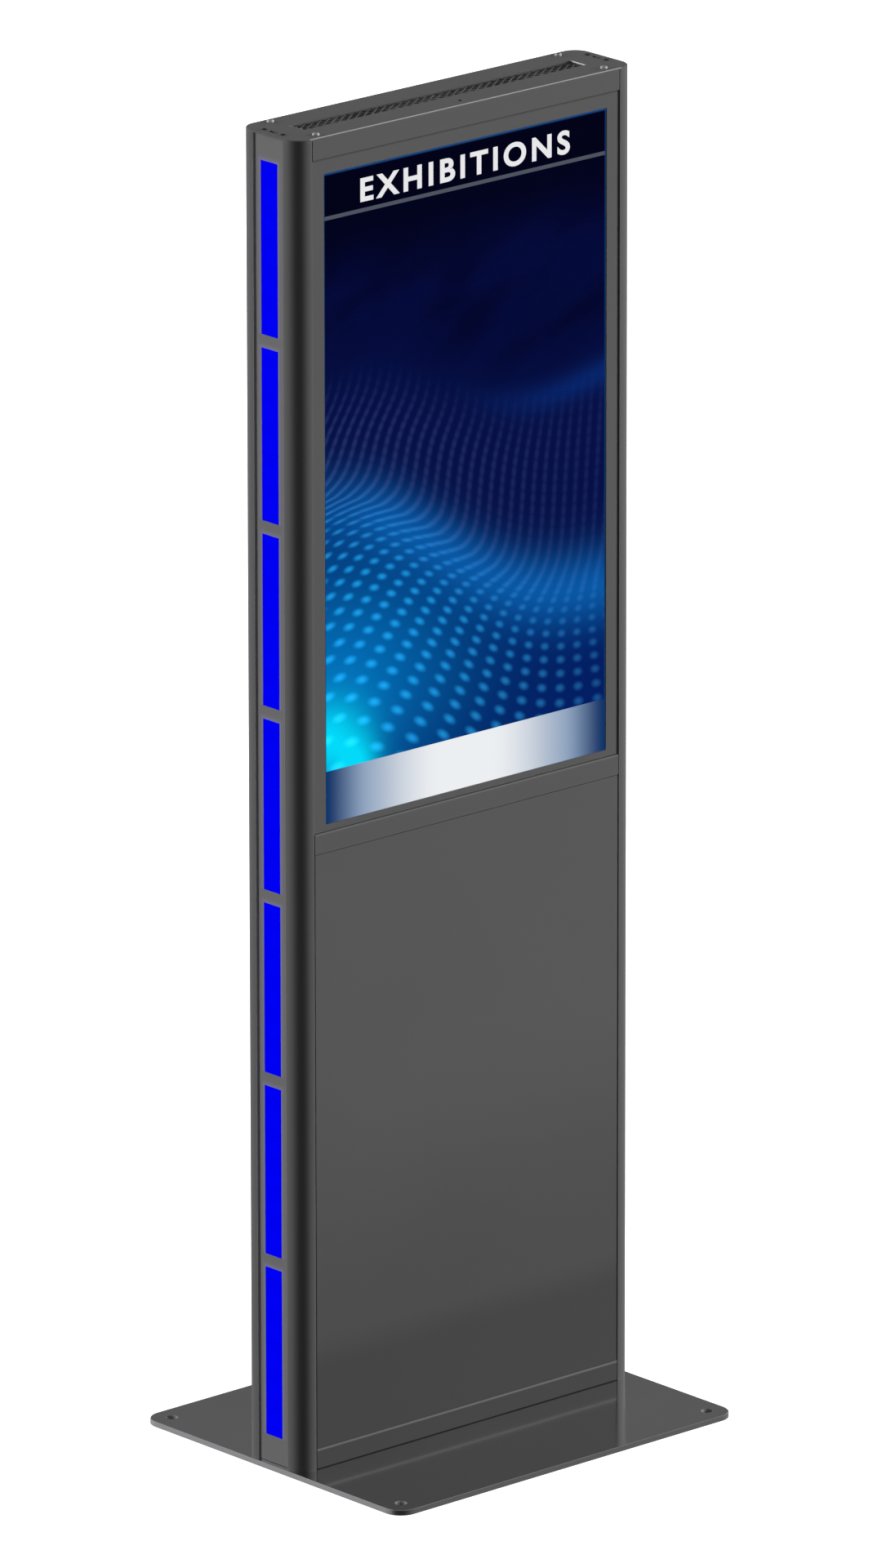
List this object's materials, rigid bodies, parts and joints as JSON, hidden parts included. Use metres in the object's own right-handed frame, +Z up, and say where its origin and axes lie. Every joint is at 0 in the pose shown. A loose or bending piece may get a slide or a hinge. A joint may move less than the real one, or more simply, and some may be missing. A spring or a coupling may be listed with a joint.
{
  "type": "information kiosk",
  "caption": "Free-standing slab-shaped touch kiosk: portrait display, light strips down both sides, vented top and hinged rear doors on a thin floor plate.",
  "frame": {"origin": "middle of the floor plate's underside", "axes": "+Z up, screen faces -Y, +X to the right seen from the front"},
  "size_m": [0.645, 0.55, 1.9548],
  "materials": {
    "black_plastic": "moulded",
    "blue_light": "lit translucent blue",
    "board": "solder mask",
    "bright_steel": "polished",
    "cover_coat": "satin mid grey",
    "front_glass": "clear over a dark lit screen",
    "grey_plastic": "moulded",
    "lcd": "dark display film",
    "light_plastic": "moulded",
    "orange_plastic": "moulded",
    "plate_coat": "glossy charcoal coat",
    "powder_coat": "satin charcoal powder coat",
    "raw_aluminium": "mill finish",
    "seal": "matt",
    "zinc_steel": "zinc plated"
  },
  "bodies": {
    "stele": {"base_plate": "plate_coat", "bezel_frame": "powder_coat", "breaker": "light_plastic", "cable_duct": "grey_plastic", "cable_grommet": "seal", "cap_screws": "bright_steel", "corner_brackets": "zinc_steel", "din_rail": "zinc_steel", "display_bars": "zinc_steel", "display_gasket": "seal", "door_pivots": "bright_steel", "end_screws": "bright_steel", "equipment_plate": "zinc_steel", "fan_frames": "black_plastic", "fan_tray": "raw_aluminium", "foot_frame": "zinc_steel", "foot_nuts": "zinc_steel", "frame_screws": "zinc_steel", "front_bottom_rail": "powder_coat", "front_mid_rail": "powder_coat", "front_panel": "powder_coat", "front_top_rail": "powder_coat", "isolator": "black_plastic", "lcd_chassis": "raw_aluminium", "lcd_panel": "lcd", "led_cover_left": "cover_coat", "led_cover_right": "cover_coat", "led_diffusers_left": "blue_light", "led_diffusers_right": "blue_light", "led_driver": "light_plastic", "led_strip_left": "light_plastic", "led_strip_right": "light_plastic", "left_post": "powder_coat", "lock_strikes": "zinc_steel", "media_player": "black_plastic", "panel_tabs": "zinc_steel", "plate_bolts": "zinc_steel", "power_supply": "raw_aluminium", "rear_bottom_rail": "powder_coat", "rear_mid_rail": "powder_coat", "rear_top_rail": "powder_coat", "right_post": "powder_coat", "supply_terminals": "black_plastic", "terminal_blocks": "grey_plastic", "top_cap": "powder_coat", "touch_board": "board", "touch_glass": "front_glass", "vent_mesh": "black_plastic", "wiring": "seal"},
    "fan_left": {"fan_rotor_left": "black_plastic"},
    "fan_right": {"fan_rotor_right": "black_plastic"},
    "upper_door": {"rear_door_upper": "powder_coat", "lock_body_upper": "bright_steel"},
    "lower_door": {"rear_door_lower": "powder_coat", "lock_body_lower": "bright_steel"},
    "upper_lock": {"lock_cam_upper": "bright_steel"},
    "lower_lock": {"lock_cam_lower": "bright_steel"},
    "button": {"player_button": "bright_steel"},
    "breaker_toggle": {"breaker_lever": "black_plastic"},
    "rocker": {"isolator_rocker": "orange_plastic"}
  },
  "joints": [
    {"name": "upper_door_hinge", "type": "hinge", "parent": "stele", "child": "upper_door", "pos_m": [-0.28, 0.054, 0], "axis": [0, 0, 1], "range_deg": [0, 95]},
    {"name": "lower_door_hinge", "type": "hinge", "parent": "stele", "child": "lower_door", "pos_m": [-0.28, 0.054, 0], "axis": [0, 0, 1], "range_deg": [0, 95]},
    {"name": "upper_lock_turn", "type": "hinge", "parent": "upper_door", "child": "upper_lock", "pos_m": [0.255, 0, 1.434], "axis": [0, 1, 0], "range_deg": [0, 90]},
    {"name": "lower_lock_turn", "type": "hinge", "parent": "lower_door", "child": "lower_lock", "pos_m": [0.255, 0, 0.478], "axis": [0, 1, 0], "range_deg": [0, 90]},
    {"name": "fan_left_spin", "type": "hinge", "parent": "stele", "child": "fan_left", "pos_m": [-0.13, 0, 0], "axis": [0, 0, 1], "continuous": true},
    {"name": "fan_right_spin", "type": "hinge", "parent": "stele", "child": "fan_right", "pos_m": [0.13, 0, 0], "axis": [0, 0, 1], "continuous": true},
    {"name": "button_press", "type": "slide", "parent": "stele", "child": "button", "axis": [0, -1, 0], "range_m": [0, 0.0012], "stiffness_N_per_m": 400},
    {"name": "breaker_throw", "type": "hinge", "parent": "stele", "child": "breaker_toggle", "pos_m": [0, 0.034, 0.76], "axis": [1, 0, 0], "range_deg": [-70, 0]},
    {"name": "rocker_tip", "type": "hinge", "parent": "stele", "child": "rocker", "pos_m": [0, 0.016, 0.745], "axis": [1, 0, 0], "range_deg": [0, 16]}
  ]
}
